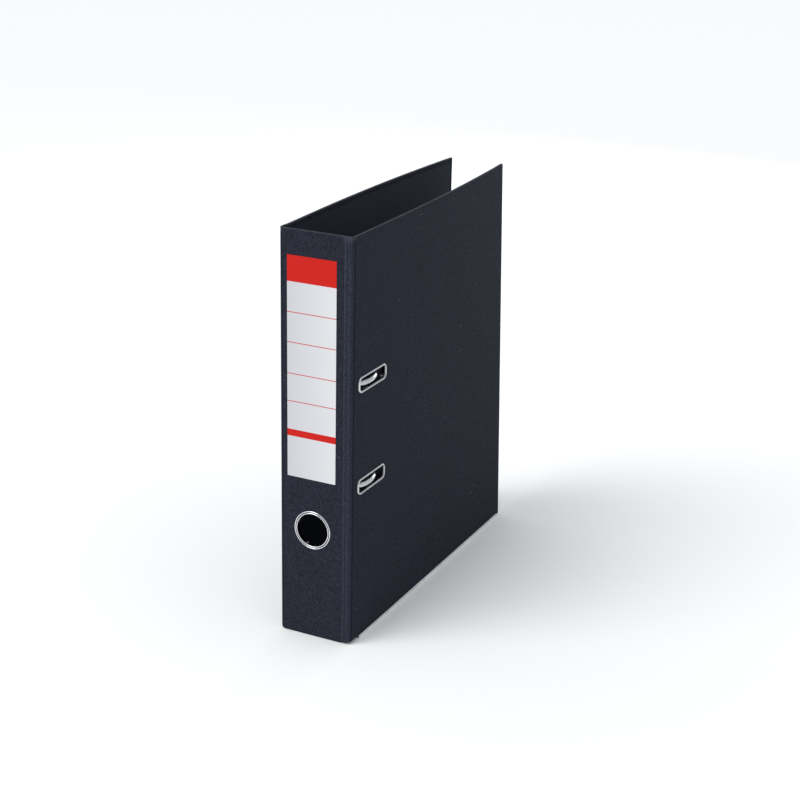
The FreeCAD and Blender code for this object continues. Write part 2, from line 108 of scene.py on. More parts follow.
def mechanismPlace(along, rise, z):  # a point of the arch mechanism on the back cover
    x, y = leaned(-1, thick - half + rise, fileSizes["hingeY"] + along)
    return place(x, y, z)


def newGroup(name, inputs, outputs):
    tree = bpy.data.node_groups.new(name, "ShaderNodeTree")
    for label, kind, value in inputs:
        socket = tree.interface.new_socket(name=label, in_out="INPUT", socket_type=kind)
        socket.default_value = value
    for label, kind in outputs:
        tree.interface.new_socket(name=label, in_out="OUTPUT", socket_type=kind)
    return tree, tree.nodes.new("NodeGroupInput"), tree.nodes.new("NodeGroupOutput")


def link(tree, start, end):
    tree.links.new(start, end)


def mathNode(tree, operation, first, second=None, clamp=False):
    node = tree.nodes.new("ShaderNodeMath")
    node.operation = operation
    node.use_clamp = clamp
    for index, value in enumerate((first, second)):
        if value is None:
            continue
        if isinstance(value, (int, float)):
            node.inputs[index].default_value = value
        else:
            link(tree, value, node.inputs[index])
    return node.outputs[0]


def rangeNode(tree, value, fromLow, fromHigh, toLow, toHigh):
    node = tree.nodes.new("ShaderNodeMapRange")
    link(tree, value, node.inputs["Value"])
    for label, number in (("From Min", fromLow), ("From Max", fromHigh),
                          ("To Min", toLow), ("To Max", toHigh)):
        node.inputs[label].default_value = number
    return node.outputs["Result"]


def noiseNode(tree, vector, scale, detail=2.0, roughness=0.5):
    node = tree.nodes.new("ShaderNodeTexNoise")
    node.inputs["Detail"].default_value = detail
    node.inputs["Roughness"].default_value = roughness
    if isinstance(scale, (int, float)):
        node.inputs["Scale"].default_value = scale
    else:
        link(tree, scale, node.inputs["Scale"])
    link(tree, vector, node.inputs["Vector"])
    return node.outputs["Fac"]


def stretched(tree, vector, scale):
    node = tree.nodes.new("ShaderNodeMapping")
    node.inputs["Scale"].default_value = scale
    link(tree, vector, node.inputs["Vector"])
    return node.outputs["Vector"]


def mixColour(tree, factor, first, second):
    node = tree.nodes.new("ShaderNodeMix")
    node.data_type = "RGBA"
    link(tree, factor, node.inputs["Factor"])
    for label, value in (("A", first), ("B", second)):
        socket = [s for s in node.inputs if s.name == label and s.type == "RGBA"][0]
        if isinstance(value, tuple):
            socket.default_value = value + (1.0,)
        else:
            link(tree, value, socket)
    return [s for s in node.outputs if s.type == "RGBA"][0]


def pressedGrainGroup():  # fine pebbled embossing, and the slow mottle that comes with it
    tree, start, end = newGroup("pressedGrain",
                                [("Cells", "NodeSocketFloat", 1100.0),
                                 ("Mottle Scale", "NodeSocketFloat", 55.0)],
                                [("Height", "NodeSocketFloat"), ("Mottle", "NodeSocketFloat"),
                                 ("Speckle", "NodeSocketFloat")])
    spot = tree.nodes.new("ShaderNodeTexCoord").outputs["Object"]
    cells = tree.nodes.new("ShaderNodeTexVoronoi")
    cells.feature = "SMOOTH_F1"
    cells.inputs["Smoothness"].default_value = 0.6
    link(tree, spot, cells.inputs["Vector"])
    link(tree, start.outputs["Cells"], cells.inputs["Scale"])
    fineScale = mathNode(tree, "MULTIPLY", start.outputs["Cells"], 0.45)
    fine = noiseNode(tree, spot, fineScale, 3.0, 0.6)
    pebbles = mathNode(tree, "MULTIPLY", cells.outputs["Distance"], 0.55)
    height = mathNode(tree, "ADD", pebbles, mathNode(tree, "MULTIPLY", fine, 0.6))
    link(tree, height, end.inputs["Height"])
    speckle = noiseNode(tree, spot, mathNode(tree, "MULTIPLY", start.outputs["Cells"], 0.85), 2.0, 0.6)
    link(tree, rangeNode(tree, speckle, 0.25, 0.75, 0.0, 1.0), end.inputs["Speckle"])
    slow = noiseNode(tree, spot, start.outputs["Mottle Scale"], 4.0, 0.62)
    link(tree, rangeNode(tree, slow, 0.2, 0.8, 0.0, 1.0), end.inputs["Mottle"])
    return tree


def wearAndEdgeHighlightGroup():  # rubbed board edges with a painted highlight along them, and a few tiny pale scuffs on the faces
    tree, start, end = newGroup("wearAndEdgeHighlight",
                                [("Edge Amount", "NodeSocketFloat", 0.6),
                                 ("Scuff Amount", "NodeSocketFloat", 0.5)],
                                [("Edge", "NodeSocketFloat"), ("Scuff", "NodeSocketFloat")])
    spot = tree.nodes.new("ShaderNodeTexCoord").outputs["Object"]
    rim = tree.nodes.new("ShaderNodeAttribute")
    rim.attribute_name = "rim"
    patchy = rangeNode(tree, noiseNode(tree, spot, 140.0, 3.0, 0.6), 0.28, 0.72, 0.25, 1.0)
    # painted highlight: the rim is lightened, patchy like rubbing
    edge = mathNode(tree, "MULTIPLY", rim.outputs["Fac"], patchy, True)
    link(tree, mathNode(tree, "MULTIPLY", edge, start.outputs["Edge Amount"], True), end.inputs["Edge"])
    streaks = noiseNode(tree, stretched(tree, spot, (1.0, 0.35, 2.2)), 260.0, 2.0, 0.5)
    where = noiseNode(tree, spot, 18.0, 1.0, 0.5)
    spots = mathNode(tree, "MULTIPLY", rangeNode(tree, streaks, 0.70, 0.77, 0.0, 1.0),
                     rangeNode(tree, where, 0.50, 0.62, 0.0, 1.0), True)
    link(tree, mathNode(tree, "MULTIPLY", spots, start.outputs["Scuff Amount"], True), end.inputs["Scuff"])
    return tree


def brushedGroup():  # drawn or rolled lines in metal, along the file's depth or its height
    tree, start, end = newGroup("brushedMetal",
                                [("Fineness", "NodeSocketFloat", 900.0),
                                 ("Stretch", "NodeSocketVector", (1.0, 0.05, 1.0))],
                                [("Height", "NodeSocketFloat"), ("Bloom", "NodeSocketFloat")])
    spot = tree.nodes.new("ShaderNodeTexCoord").outputs["Object"]
    product = tree.nodes.new("ShaderNodeVectorMath")
    product.operation = "MULTIPLY"
    link(tree, spot, product.inputs[0])
    link(tree, start.outputs["Stretch"], product.inputs[1])
    lines = noiseNode(tree, product.outputs["Vector"], start.outputs["Fineness"], 3.0, 0.6)
    link(tree, lines, end.inputs["Height"])
    slow = noiseNode(tree, spot, 95.0, 3.0, 0.55)
    link(tree, rangeNode(tree, slow, 0.32, 0.68, 0.0, 1.0), end.inputs["Bloom"])
    return tree


pressedGrain = pressedGrainGroup()
wearAndEdgeHighlight = wearAndEdgeHighlightGroup()
brushedMetal = brushedGroup()


def newMaterial(name):
    material = bpy.data.materials.new(name)
    material.use_nodes = True
    tree = material.node_tree
    shader = tree.nodes["Principled BSDF"]
    return material, tree, shader


def groupNode(tree, group, values):
    node = tree.nodes.new("ShaderNodeGroup")
    node.node_tree = group
    for label, value in values.items():
        node.inputs[label].default_value = value
    return node


def bumpNode(tree, height, strength, distance, shader):
    node = tree.nodes.new("ShaderNodeBump")
    node.inputs["Strength"].default_value = strength
    node.inputs["Distance"].default_value = distance
    link(tree, height, node.inputs["Height"])
    link(tree, node.outputs["Normal"], shader.inputs["Normal"])


coveringLook = {
    "dark": (0.0088, 0.0101, 0.0156),
    "light": (0.0326, 0.0362, 0.0502),
    # colour of the painted highlight along the rubbed edges
    "rubbedEdgeHighlight": (0.105, 0.110, 0.125),
    "scuffed": (0.15, 0.155, 0.17),
    "roughLow": 0.58,
    "roughHigh": 0.64,
    "specular": 0.015,
}


def coveringMaterial(name, cells, depth, edgeAmount, scuffAmount, lift=1.0):
    look = coveringLook
    material, tree, shader = newMaterial(name)
    grain = groupNode(tree, pressedGrain, {"Cells": cells, "Mottle Scale": 48.0})
    wearAndHighlight = groupNode(tree, wearAndEdgeHighlight, {"Edge Amount": edgeAmount, "Scuff Amount": scuffAmount})
    tone = mathNode(tree, "ADD", mathNode(tree, "MULTIPLY", grain.outputs["Mottle"], 0.12),
                    mathNode(tree, "MULTIPLY", grain.outputs["Speckle"], 0.88), True)
    # a lift above 1 makes a lighter copy of the covering, a painted sheen
    dark, light = (tuple(v * lift for v in look[k]) for k in ("dark", "light"))
    base = mixColour(tree, tone, dark, light)
    pressShade = tree.nodes.new("ShaderNodeAttribute")  # painted shade: darker in the pressed grooves and towards each foil's cover side
    pressShade.attribute_name = "pressShade"
    base = mixColour(tree, pressShade.outputs["Fac"], base, look["dark"])
    # painted highlight along the rim, mixed with rubbing
    base = mixColour(tree, wearAndHighlight.outputs["Edge"], base, look["rubbedEdgeHighlight"])
    base = mixColour(tree, wearAndHighlight.outputs["Scuff"], base, look["scuffed"])
    link(tree, base, shader.inputs["Base Color"])
    link(tree, rangeNode(tree, grain.outputs["Mottle"], 0, 1, look["roughLow"], look["roughHigh"]),
         shader.inputs["Roughness"])
    shader.inputs["Specular IOR Level"].default_value = look["specular"]
    bumpNode(tree, grain.outputs["Height"], 0.8, depth, shader)
    return material


def liningMaterial():
    material, tree, shader = newMaterial("liningPaper")
    grain = groupNode(tree, pressedGrain, {"Cells": 700.0, "Mottle Scale": 26.0})
    spot = tree.nodes.new("ShaderNodeTexCoord").outputs["Object"]
    fibres = noiseNode(tree, stretched(tree, spot, (1.0, 0.3, 1.6)), 850.0, 3.0, 0.7)
    base = mixColour(tree, grain.outputs["Mottle"], (0.0172, 0.0212, 0.0350), (0.0222, 0.0266, 0.0425))
    base = mixColour(tree, rangeNode(tree, fibres, 0.62, 0.80, 0.0, 0.55), base, (0.024, 0.027, 0.036))
    link(tree, base, shader.inputs["Base Color"])
    link(tree, rangeNode(tree, fibres, 0.3, 0.7, 0.62, 0.78), shader.inputs["Roughness"])
    shader.inputs["Specular IOR Level"].default_value = 0.08
    bumpNode(tree, fibres, 0.3, 0.00004, shader)
    return material


def boardMaterial():
    material, tree, shader = newMaterial("greyBoard")
    spot = tree.nodes.new("ShaderNodeTexCoord").outputs["Object"]
    flecks = noiseNode(tree, stretched(tree, spot, (1.0, 0.5, 1.5)), 900.0, 4.0, 0.7)
    pale = rangeNode(tree, flecks, 0.35, 0.7, 0.0, 1.0)
    base = mixColour(tree, pale, (0.20, 0.19, 0.17), (0.36, 0.34, 0.31))
    link(tree, base, shader.inputs["Base Color"])
    link(tree, rangeNode(tree, flecks, 0.3, 0.7, 0.8, 0.95), shader.inputs["Roughness"])
    bumpNode(tree, flecks, 0.5, 0.00008, shader)
    return material


labelLook = {
    "paper": (0.53, 0.54, 0.56),
    "paperSheen": (0.66, 0.665, 0.68),
    "red": (0.54, 0.010, 0.005),
    "redDeep": (0.48, 0.008, 0.004),
    # heights of each printed band's middle above the shelf, and half its height
    "bands": ((0.2893, 0.0100), (0.2565, 0.0003), (0.2336, 0.0003), (0.2097, 0.0003), (0.1884, 0.0003),
              (0.16375, 0.00265)),
}


def labelMaterial():
    look = labelLook
    material, tree, shader = newMaterial("labelCard")
    spot = tree.nodes.new("ShaderNodeTexCoord").outputs["Object"]
    parts = tree.nodes.new("ShaderNodeSeparateXYZ")
    link(tree, spot, parts.inputs["Vector"])
    mask = None
    for height, halfTall in look["bands"]:
        away = mathNode(tree, "ABSOLUTE", mathNode(tree, "SUBTRACT", parts.outputs["Z"], height))
        band = rangeNode(tree, away, halfTall - 0.00006, halfTall + 0.00006, 1.0, 0.0)
        mask = band if mask is None else mathNode(tree, "MAXIMUM", mask, band)
    tooth = noiseNode(tree, spot, 1500.0, 2.0, 0.5)
    slow = noiseNode(tree, spot, 30.0, 2.0, 0.5)
    low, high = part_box("spine_label")
    # painted sheen: the paper grows lighter across the label's width
    across = rangeNode(tree, parts.outputs["X"], low.x, high.x, 0.0, 1.0)
    paper = mixColour(tree, across, look["paper"], look["paperSheen"])
    paper = mixColour(tree, rangeNode(tree, slow, 0.35, 0.65, 0.0, 0.10), paper, (0.48, 0.48, 0.50))
    ink = mixColour(tree, rangeNode(tree, tooth, 0.35, 0.65, 0.0, 0.25), look["red"], look["redDeep"])
    link(tree, mixColour(tree, mask, paper, ink), shader.inputs["Base Color"])
    link(tree, rangeNode(tree, tooth, 0.3, 0.7, 0.36, 0.44), shader.inputs["Roughness"])
    shader.inputs["Specular IOR Level"].default_value = 0.12
    shader.inputs["Coat Weight"].default_value = 0.05
    shader.inputs["Coat Roughness"].default_value = 0.12
    bumpNode(tree, tooth, 0.12, 0.00002, shader)
    return material


def metalMaterial(name, dark, light, roughLow, roughHigh, fineness, stretch, depth):
    material, tree, shader = newMaterial(name)
    brushed = groupNode(tree, brushedMetal, {"Fineness": fineness, "Stretch": stretch})
    groove = tree.nodes.new("ShaderNodeAttribute")  # painted shade in the rolled grooves and collars: the base colour is darkened there
    groove.attribute_name = "groove"
    base = mixColour(tree, brushed.outputs["Bloom"], dark, light)
    base = mixColour(tree, groove.outputs["Fac"], base, (0.10, 0.10, 0.11))
    link(tree, base, shader.inputs["Base Color"])
    rough = rangeNode(tree, brushed.outputs["Height"], 0.3, 0.7, roughLow, roughHigh)
    link(tree, rough, shader.inputs["Roughness"])
    shader.inputs["Metallic"].default_value = 1.0
    bumpNode(tree, brushed.outputs["Height"], 0.25, depth, shader)
    return material


def plasticMaterial():
    material, tree, shader = newMaterial("mouldedPlastic")
    grain = groupNode(tree, pressedGrain, {"Cells": 2200.0, "Mottle Scale": 70.0})
    link(tree, mixColour(tree, grain.outputs["Mottle"], (0.010, 0.010, 0.011), (0.016, 0.016, 0.018)),
         shader.inputs["Base Color"])
    link(tree, rangeNode(tree, grain.outputs["Mottle"], 0, 1, 0.34, 0.44), shader.inputs["Roughness"])
    bumpNode(tree, grain.outputs["Height"], 0.25, 0.00003, shader)
    return material


covering = coveringMaterial("charcoalCovering", 1000.0, 0.00018, 0.50, 0.55)
# painted sheen: the hinge foils take the covering 1.7 times lighter
hingeCoveringSheen = coveringMaterial("hingeCoveringSheen", 1250.0, 0.00010, 0.50, 0.25, 1.70)
lining = liningMaterial()
greyBoard = boardMaterial()
labelCard = labelMaterial()
ringNickel = metalMaterial("ringNickel", (0.78, 0.78, 0.80), (0.90, 0.90, 0.92), 0.10, 0.17,
                           500.0, (1.0, 1.0, 1.0), 0.000006)
nickel = metalMaterial("brightNickel", (0.50, 0.50, 0.52), (0.62, 0.62, 0.64), 0.12, 0.20,
                       500.0, (1.0, 1.0, 1.0), 0.000006)
zinc = metalMaterial("zincSteel", (0.52, 0.54, 0.58), (0.66, 0.67, 0.70), 0.26, 0.42,
                     900.0, (1.0, 1.0, 0.06), 0.00001)
edgeSteel = metalMaterial("edgeSteel", (0.70, 0.69, 0.71), (0.82, 0.81, 0.82), 0.24, 0.36,
                          1100.0, (1.0, 0.04, 1.0), 0.00001)
springSteel = metalMaterial("springSteel", (0.26, 0.27, 0.31), (0.36, 0.37, 0.40), 0.22, 0.34,
                            900.0, (1.0, 1.0, 0.05), 0.00001)
plastic = plasticMaterial()
print("materials made")

nodeFinish = {
    "spine_board": greyBoard, "front_board": greyBoard, "back_board": greyBoard,
    "spine_lining": lining, "front_lining": lining, "back_lining": lining,
    "spine_wrap": covering, "front_wrap": covering, "back_wrap": covering,
    "front_hinge_foil": hingeCoveringSheen, "back_hinge_foil": hingeCoveringSheen,
    "spine_label": labelCard,
    "finger_ring": ringNickel, "lower_slot_eyelet": nickel, "upper_slot_eyelet": nickel,
    "mechanism_rivets": nickel, "lower_post": nickel, "upper_post": nickel,
    "arch_wire": nickel, "lever_arm": nickel,
    "finger_ring_washer": zinc, "base_plate": zinc, "lower_bearing_strap": zinc,
    "upper_bearing_strap": zinc, "lever_pivot_pin": zinc, "roller_pin": zinc,
    "front_edge_strip": edgeSteel, "back_edge_strip": edgeSteel,
    "arch_spring": springSteel, "compressor_clip": springSteel,
    "lever_grip": plastic, "lever_roller": plastic, "compressor_bar": plastic,
}
for name, finish in nodeFinish.items():
    data = nodes[name].data
    data.materials.clear()
    data.materials.append(finish)


def addObject(name, data):
    piece = bpy.data.objects.new(name, data)
    bpy.context.scene.collection.objects.link(piece)
    return piece


def meshFrom(bm, name):
    data = bpy.data.meshes.new(name)
    bm.to_mesh(data)
    bm.free()
    return data


def settled(piece):  # its modifiers become its plain mesh
    graph = bpy.context.evaluated_depsgraph_get()
    data = bpy.data.meshes.new_from_object(piece.evaluated_get(graph))
    piece.modifiers.clear()
    piece.data = data
    return piece


def shaded(piece, degrees=32.0):
    piece.data.shade_smooth()
    piece.data.set_sharp_from_angle(angle=math.radians(degrees))


def cutCleanly(piece, cutters):  # every cutter is taken out of the piece
    for cutter in cutters:
        cut = piece.modifiers.new("cut", "BOOLEAN")
        cut.operation = "DIFFERENCE"
        cut.solver = "EXACT"
        cut.object = cutter
    settled(piece)
    for cutter in cutters:
        bpy.data.objects.remove(cutter)


def cutAt(bm, axis, values):  # cuts all round a block at each value of one axis
    normal = Vector([1.0 if i == axis else 0.0 for i in range(3)])
    for value in values:
        everything = bm.verts[:] + bm.edges[:] + bm.faces[:]
        bmesh.ops.bisect_plane(bm, geom=everything, plane_co=normal * value, plane_no=normal, dist=1e-5)


def panelMesh(name, low, high, cuts, openSides, recess, radius, segments):
    # a covered board lying square: x is the depth below its outer face, y runs along it, z is up.
    # openSides are (axis, value) of faces that meet a hinge, so their edges stay sharp.
    bm = bmesh.new()
    bmesh.ops.create_cube(bm, size=1.0)
    for vert in bm.verts:
        for axis in range(3):
            vert.co[axis] = high[axis] if vert.co[axis] > 0 else low[axis]
    for axis in (1, 2):
        cutAt(bm, axis, cuts[axis])

    def isOpen(face):
        middle = face.calc_center_median()
        return any(abs(middle[axis] - value) < 1e-4 for axis, value in openSides)

    rim = []
    for edge in bm.edges:
        turns = edge.calc_face_angle(0.0) > 0.5
        if turns and not any(isOpen(face) for face in edge.link_faces):
            rim.append(edge)
    bmesh.ops.bevel(bm, geom=rim, offset=radius, offset_type="OFFSET", segments=segments,
                    profile=0.5, affect="EDGES", clamp_overlap=True)
    # the bed that the lining lies in
    def isBed(face):
        middle = face.calc_center_median()
        return face.normal.x > 0.99 and all(
            recess[a - 1][0] - 1e-4 < middle[a] < recess[a - 1][1] + 1e-4 for a in (1, 2))

    bed = [face for face in bm.faces if isBed(face)]
    grown = bmesh.ops.extrude_face_region(bm, geom=bed)
    bmesh.ops.delete(bm, geom=[f for f in bed if f.is_valid], context="FACES_ONLY")
    for item in grown["geom"]:
        if isinstance(item, bmesh.types.BMVert):
            item.co.x -= panelSizes["bedDepth"]
    bmesh.ops.recalc_face_normals(bm, faces=bm.faces[:])
    # where the board's edges are rubbed and carry a painted highlight
    layer = bm.verts.layers.float.new("rim")
    for vert in bm.verts:
        near = 99.0
        for axis in range(3):
            for limit in (low[axis], high[axis]):
                if axis == 0 or any(abs(limit - v) < 1e-4 and axis == a for a, v in openSides):
                    continue
                near = min(near, abs(vert.co[axis] - limit))
        vert[layer] = 1.0 if near < radius * 0.35 else 0.0
    return meshFrom(bm, name)


def slotCutter(middleY, middleZ, long, tall, corner, depthLow, depthHigh):
    bm = bmesh.new()
    outline = []
    for cornerY, cornerZ, start in ((1, 1, 0), (-1, 1, 90), (-1, -1, 180), (1, -1, 270)):
        for step in range(9):
            angle = math.radians(start + step * 11.25)
            outline.append((middleY + cornerY * (long / 2 - corner) + corner * math.cos(angle),
                            middleZ + cornerZ * (tall / 2 - corner) + corner * math.sin(angle)))
    near = [bm.verts.new((depthLow, y, z)) for y, z in outline]
    face = bm.faces.new(near)
    grown = bmesh.ops.extrude_face_region(bm, geom=[face])
    for item in grown["geom"]:
        if isinstance(item, bmesh.types.BMVert):
            item.co.x = depthHigh
    bmesh.ops.recalc_face_normals(bm, faces=bm.faces[:])
    return addObject("cutter", meshFrom(bm, "cutter"))


def finishPanel(piece, mapping):
    for vert in piece.data.vertices:
        vert.co = mapping(*vert.co)
    bm = bmesh.new()
    bm.from_mesh(piece.data)
    bmesh.ops.recalc_face_normals(bm, faces=bm.faces[:])
    bm.to_mesh(piece.data)
    bm.free()
    piece.data.materials.clear()
    piece.data.materials.append(covering)
    shaded(piece)


# the three covered boards
panelSizes = {
    "rimRadius": 0.85,
    "rimSteps": 4,
    "lift": 0.45,             # the covers stand in their edge strips
    "turnIn": 4.0,
    "bedDepth": 0.21,         # the lining lies in a bed this deep
    "stripStart": 14.0,
    "cornerTrim": 1.55,       # trimmed off the lower corner beside each hinge,
    "cornerFade": 11.0,       # fading out over this height
    "frontStart": 3.0,
    "backStart": 8.5,
    "supportLoop": 1.7,
    "slotHeights": (125.3, 205.3),
    "slotAlong": 31.2,
    "slotLong": 40.8,
    "slotTall": 10.1,
    "slotCorner": 3.3,
    "ringHole": 13.5,
    "ringAlong": -2.35,
    "ringHeight": 88.4,
}


def coverPanel(name, side):
    sizes = panelSizes
    start = sizes["frontStart"] if side > 0 else sizes["backStart"]
    low = (0.0, start, sizes["lift"])
    high = (thick, fileSizes["depth"], fileSizes["height"])
    loop = sizes["supportLoop"]
    alongCuts = [13.0, 14.0, 36.0, 60.0] + [60.0 + 8.0 * i for i in range(1, 28)]
    alongCuts = [y for y in alongCuts if y < high[1] - sizes["turnIn"] - 1]
    alongCuts += [high[1] - sizes["turnIn"], high[1] - loop]
    upCuts = [low[2] + loop, low[2] + sizes["turnIn"], 12.0]
    upCuts += [24.0 + 20.0 * i for i in range(15)]
    upCuts = [z for z in upCuts if z < high[2] - 5] + [high[2] - sizes["turnIn"], high[2] - loop]
    recess = ((start - 1, high[1] - sizes["turnIn"]), (low[2] + sizes["turnIn"], high[2] - sizes["turnIn"]))
    data = panelMesh(name, low, high, {1: alongCuts, 2: upCuts}, [(1, start)], recess,
                     sizes["rimRadius"], sizes["rimSteps"])
    piece = addObject(name, data)
    if side > 0:
        cutCleanly(piece, [slotCutter(sizes["slotAlong"], z, sizes["slotLong"], sizes["slotTall"],
                                      sizes["slotCorner"], -2.0, thick + 2.0) for z in sizes["slotHeights"]])

    def mapping(depth, y, z):
        near = min(1.0, max(0.0, sizes["stripStart"] - y))
        trim = sizes["cornerTrim"] * near * max(0.0, 1.0 - (z - low[2]) / sizes["cornerFade"])
        return coverPlace(side, depth, y, z + trim)

    finishPanel(piece, mapping)
    return piece


def spinePanel(name):
    sizes = panelSizes
    wide = spineRight - spineLeft
    loop = sizes["supportLoop"]
    low = (0.0, 0.0, 0.0)
    high = (thick, wide, fileSizes["height"])
    upCuts = [loop, sizes["turnIn"]] + [24.0 + 20.0 * i for i in range(15)]
    upCuts = [z for z in upCuts if z < high[2] - 5] + [high[2] - sizes["turnIn"], high[2] - loop]
    recess = ((-1, wide + 1), (sizes["turnIn"], high[2] - sizes["turnIn"]))
    data = panelMesh(name, low, high, {1: [wide / 4, wide / 2, wide * 3 / 4], 2: upCuts},
                     [(1, 0.0), (1, wide)], recess, sizes["rimRadius"], sizes["rimSteps"])
    piece = addObject(name, data)
    radius = sizes["ringHole"]
    hole = slotCutter(sizes["ringAlong"] - spineLeft, sizes["ringHeight"], 2 * radius, 2 * radius,
                      radius - 0.001, -2.0, thick + 2.0)
    cutCleanly(piece, [hole])
    finishPanel(piece, lambda depth, along, z: place(spineLeft + along, depth, z))
    return piece


frontSkin = coverPanel("front_skin", 1)
backSkin = coverPanel("back_skin", -1)
spineSkin = spinePanel("spine_skin")
for piece, body, node in ((frontSkin, "front_cover", "front_wrap"), (backSkin, "back_cover", "back_wrap"),
                          (spineSkin, "spine", "spine_wrap")):
    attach(piece, body)
    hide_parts(node)
print("covered boards made")

# the hinge foils
foilSizes = {
    "thick": 0.5,
    "groove": 0.16,           # pressed in along both boards and once down the middle
    "grooveHalf": 0.75,
    "crease": 3.3,
    "edgeGroove": 0.55,
    "rib": 0.06,              # fine ribs pressed along the whole foil
    "ribPitch": 1.35,
    "riseFade": 6.0,          # height over which the lower end's rise dies out
    "gap": 0.1,
    "hem": 1.3,               # the covering is folded over along the top
    "hemFrom": 313.0,
    "steps": 60,
    "rows": 24,
}


def foilSpot(side, run):  # a point of the foil's outer face and its outward direction
    radius = fileSizes["cornerRadius"]
    flat = fileSizes["foilFlat"]
    bend = radius * math.pi / 2
    if side > 0:
        if run <= flat:
            return (spineRight + run, 0.0), (0.0, -1.0)
        angle = (run - flat) / radius
        return ((half - radius + radius * math.sin(angle), radius - radius * math.cos(angle)),
                (math.sin(angle), -math.cos(angle)))
    if run <= bend:
        angle = run / radius
        return ((spineLeft - radius * math.sin(angle), radius - radius * math.cos(angle)),
                (-math.sin(angle), -math.cos(angle)))
    x, y = -half, radius + run - bend
    share = (run - bend) / flat
    return leaned(-1, x, y, share), (-1.0, 0.0)


def hingeFoil(name, side):
    sizes = foilSizes
    length = fileSizes["foilFlat"] + fileSizes["cornerRadius"] * math.pi / 2
    crease = sizes["crease"] if side > 0 else length - sizes["crease"]
    grooves = (sizes["edgeGroove"], crease, length - sizes["edgeGroove"])
    outside, inside, hemmed, rises, pressShades = [], [], [], [], []
    riseStart = spineRight + 1.5 if side > 0 else -spineLeft
    for step in range(sizes["steps"] + 1):
        run = length * step / sizes["steps"]
        if side < 0:
            run = run * (length - sizes["gap"]) / length
        (x, y), (nx, ny) = foilSpot(side, run)
        share = max(0.0, (abs(x) - riseStart) / (half - riseStart))
        rises.append((fileSizes["foilRise"] - fileSizes["foilClear"]) * min(1.0, share) ** 2)
        sunk = sizes["rib"] * (0.5 - 0.5 * math.cos(2 * math.pi * run / sizes["ribPitch"]))
        for groove in grooves:
            away = abs(run - groove) / sizes["grooveHalf"]
            if away < 1.0:
                sunk = max(sunk, sizes["groove"] * (0.5 + 0.5 * math.cos(math.pi * away)))
        toCover = run / length if side > 0 else 1.0 - run / length
        # painted shade: deeper in the grooves and growing towards the cover side
        pressShades.append(min(1.0, 0.75 * sunk / sizes["groove"] + 0.40 * toCover ** 2))
        outside.append((x - nx * sunk, y - ny * sunk))
        inner = sizes["thick"] - sunk * 0.3
        inside.append((x - nx * inner, y - ny * inner))
        hemmed.append((x - nx * sizes["hem"], y - ny * sizes["hem"]))
    plainLoop = outside + inside[::-1]
    hemLoop = outside + hemmed[::-1]
    rises += rises[::-1]
    pressShades += pressShades[::-1]
    low, high = fileSizes["foilClear"], fileSizes["height"]
    hem = sizes["hemFrom"]
    heights = [low, low + 0.25]
    heights += [low + (hem - 2 - low) * i / sizes["rows"] for i in range(1, sizes["rows"] + 1)]
    heights += [hem, high - 0.25, high]
    bm = bmesh.new()
    layer = bm.verts.layers.float.new("rim")
    pressShadeLayer = bm.verts.layers.float.new("pressShade")
    rows = []
    for z in heights:
        row = []
        fade = max(0.0, 1.0 - (z - low) / sizes["riseFade"])
        for (x, y), rise, pressShade in zip(hemLoop if z >= hem else plainLoop, rises, pressShades):
            vert = bm.verts.new(place(x, y, z + rise * fade))
            vert[pressShadeLayer] = pressShade
            # painted highlight along the foil's top edge
            vert[layer] = 1.0 if z > high - 0.3 else 0.0
            row.append(vert)
        rows.append(row)
    count = len(plainLoop)
    for lower, upper in zip(rows, rows[1:]):
        for i in range(count):
            j = (i + 1) % count
            bm.faces.new((lower[i], lower[j], upper[j], upper[i]))
    steps = sizes["steps"]
    for row in (rows[0], rows[-1]):
        for i in range(steps):
            bm.faces.new((row[i], row[i + 1], row[count - 2 - i], row[count - 1 - i]))
    bmesh.ops.recalc_face_normals(bm, faces=bm.faces[:])
    piece = addObject(name, meshFrom(bm, name))
    piece.data.materials.append(hingeCoveringSheen)
    shaded(piece, 40.0)
    return piece


frontFoil = hingeFoil("front_foil", 1)
backFoil = hingeFoil("back_foil", -1)
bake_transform(frontFoil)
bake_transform(backFoil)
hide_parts("front_hinge_foil")
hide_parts("back_hinge_foil")
print("hinge foils made")

